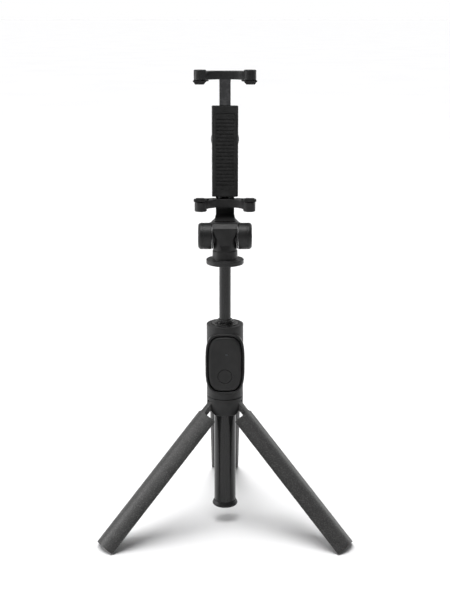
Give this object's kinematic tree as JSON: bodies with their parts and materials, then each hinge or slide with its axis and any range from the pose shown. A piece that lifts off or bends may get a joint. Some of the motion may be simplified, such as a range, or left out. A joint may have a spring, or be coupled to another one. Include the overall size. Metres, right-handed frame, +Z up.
{
  "type": "selfie stick",
  "caption": "Telescopic selfie stick with a sprung phone clamp on a tilting swivel head, a lift-out remote and fold-out tripod legs.",
  "frame": {"origin": "on the floor, under the middle of the box around the whole object", "axes": "+Z up along the pole; the remote and the phone face -Y; +X to the right seen from the front"},
  "size_m": [0.1564, 0.1384, 0.2843],
  "materials": {
    "black_plastic": "fine matt black moulding",
    "remote_plastic": "smooth satin black moulding",
    "black_anodised": "satin black anodised tube",
    "coated_metal": "finely textured black powder coat",
    "black_rubber": "matt black rubber",
    "slide_plastic": "dark low-friction plastic",
    "bright_steel": "bright steel",
    "black_steel": "blackened steel",
    "circuit_board": "green solder mask",
    "light_pipe": "smoked light pipe"
  },
  "bodies": {
    "handle": {"handle_shell": "black_plastic", "handle_bezel": "black_anodised", "leg_hub": "black_plastic", "column_tube": "black_anodised", "column_cap": "black_plastic", "hinge_pin_rear": "bright_steel", "hinge_pin_left": "bright_steel", "hinge_pin_right": "bright_steel", "dock_magnet_left": "bright_steel", "dock_magnet_right": "bright_steel", "hub_screw_front": "black_steel", "hub_screw_left": "black_steel", "hub_screw_right": "black_steel"},
    "leg_rear": {"leg_shell_rear": "coated_metal", "foot_pad_rear": "black_rubber"},
    "leg_left": {"leg_shell_left": "coated_metal", "foot_pad_left": "black_rubber"},
    "leg_right": {"leg_shell_right": "coated_metal", "foot_pad_right": "black_rubber"},
    "section_1": {"pole_section_1": "black_anodised", "section_guide_1": "slide_plastic"},
    "section_2": {"pole_section_2": "black_anodised", "section_guide_2": "slide_plastic"},
    "section_3": {"pole_section_3": "black_anodised", "section_guide_3": "slide_plastic"},
    "section_4": {"pole_section_4": "black_anodised", "section_guide_4": "slide_plastic", "swivel_stud": "bright_steel"},
    "head": {"pole_head": "black_plastic"},
    "yoke": {"tilt_yoke": "black_plastic", "tilt_bolt": "black_steel", "tilt_nut": "bright_steel", "ear_cap_left": "black_plastic", "ear_cap_right": "black_plastic", "tilt_washer_left": "slide_plastic", "tilt_washer_right": "slide_plastic"},
    "clamp": {"clamp_spine": "black_plastic", "lower_jaw": "black_plastic", "jaw_screw_left": "black_steel", "jaw_screw_right": "black_steel", "spine_pad": "black_rubber", "lower_pad_left": "black_rubber", "lower_pad_right": "black_rubber", "pivot_cap": "black_plastic", "pivot_screw": "black_steel", "clamp_spring_left": "bright_steel", "clamp_spring_right": "bright_steel"},
    "moving_jaw": {"upper_jaw": "black_plastic", "slide_tongue": "black_steel", "upper_pad_left": "black_rubber", "upper_pad_right": "black_rubber"},
    "remote": {"remote_front": "remote_plastic", "remote_back": "black_plastic", "status_light": "light_pipe", "remote_board": "circuit_board", "remote_battery": "bright_steel", "switch_dome": "bright_steel", "remote_keeper": "bright_steel"},
    "button": {"shutter_button": "remote_plastic"}
  },
  "joints": [
    {"name": "leg_rear_fold", "type": "hinge", "parent": "handle", "child": "leg_rear", "pos_m": [0, -0.00918, 0.08057], "axis": [1, 0, 0], "range_deg": [-45, 0]},
    {"name": "leg_left_fold", "type": "hinge", "parent": "handle", "child": "leg_left", "pos_m": [-0.00831, -0.02358, 0.08057], "axis": [-0.5, 0.866, 0], "range_deg": [-45, 0]},
    {"name": "leg_right_fold", "type": "hinge", "parent": "handle", "child": "leg_right", "pos_m": [0.00831, -0.02358, 0.08057], "axis": [-0.5, -0.866, 0], "range_deg": [-45, 0]},
    {"name": "section_1_draw", "type": "slide", "parent": "handle", "child": "section_1", "axis": [0, 0, 1], "range_m": [0, 0.081]},
    {"name": "section_2_draw", "type": "slide", "parent": "section_1", "child": "section_2", "axis": [0, 0, 1], "range_m": [0, 0.081]},
    {"name": "section_3_draw", "type": "slide", "parent": "section_2", "child": "section_3", "axis": [0, 0, 1], "range_m": [0, 0.081]},
    {"name": "section_4_draw", "type": "slide", "parent": "section_3", "child": "section_4", "axis": [0, 0, 1], "range_m": [-0.0369, 0.0431]},
    {"name": "head_swivel", "type": "hinge", "parent": "section_4", "child": "head", "pos_m": [0, -0.01878, 0.175], "axis": [0, 0, 1], "continuous": true},
    {"name": "head_tilt", "type": "hinge", "parent": "head", "child": "yoke", "pos_m": [0, -0.01878, 0.186], "axis": [-1, 0, 0], "range_deg": [-172, 60]},
    {"name": "clamp_roll", "type": "hinge", "parent": "yoke", "child": "clamp", "pos_m": [0, 0.00187, 0.242], "axis": [0, 1, 0], "range_deg": [-90, 90]},
    {"name": "jaw_slide", "type": "slide", "parent": "clamp", "child": "moving_jaw", "axis": [0, 0, 1], "range_m": [-0.015, 0.018], "deforming": ["clamp_spring_left", "clamp_spring_right"]},
    {"name": "remote_lift", "type": "slide", "parent": "handle", "child": "remote", "axis": [0, -1, 0], "range_m": [0, 0.012]},
    {"name": "button_press", "type": "slide", "parent": "remote", "child": "button", "axis": [0, 1, 0], "range_m": [0, 0.0004], "stiffness_N_per_m": 500, "springref_m": -0.0008}
  ]
}
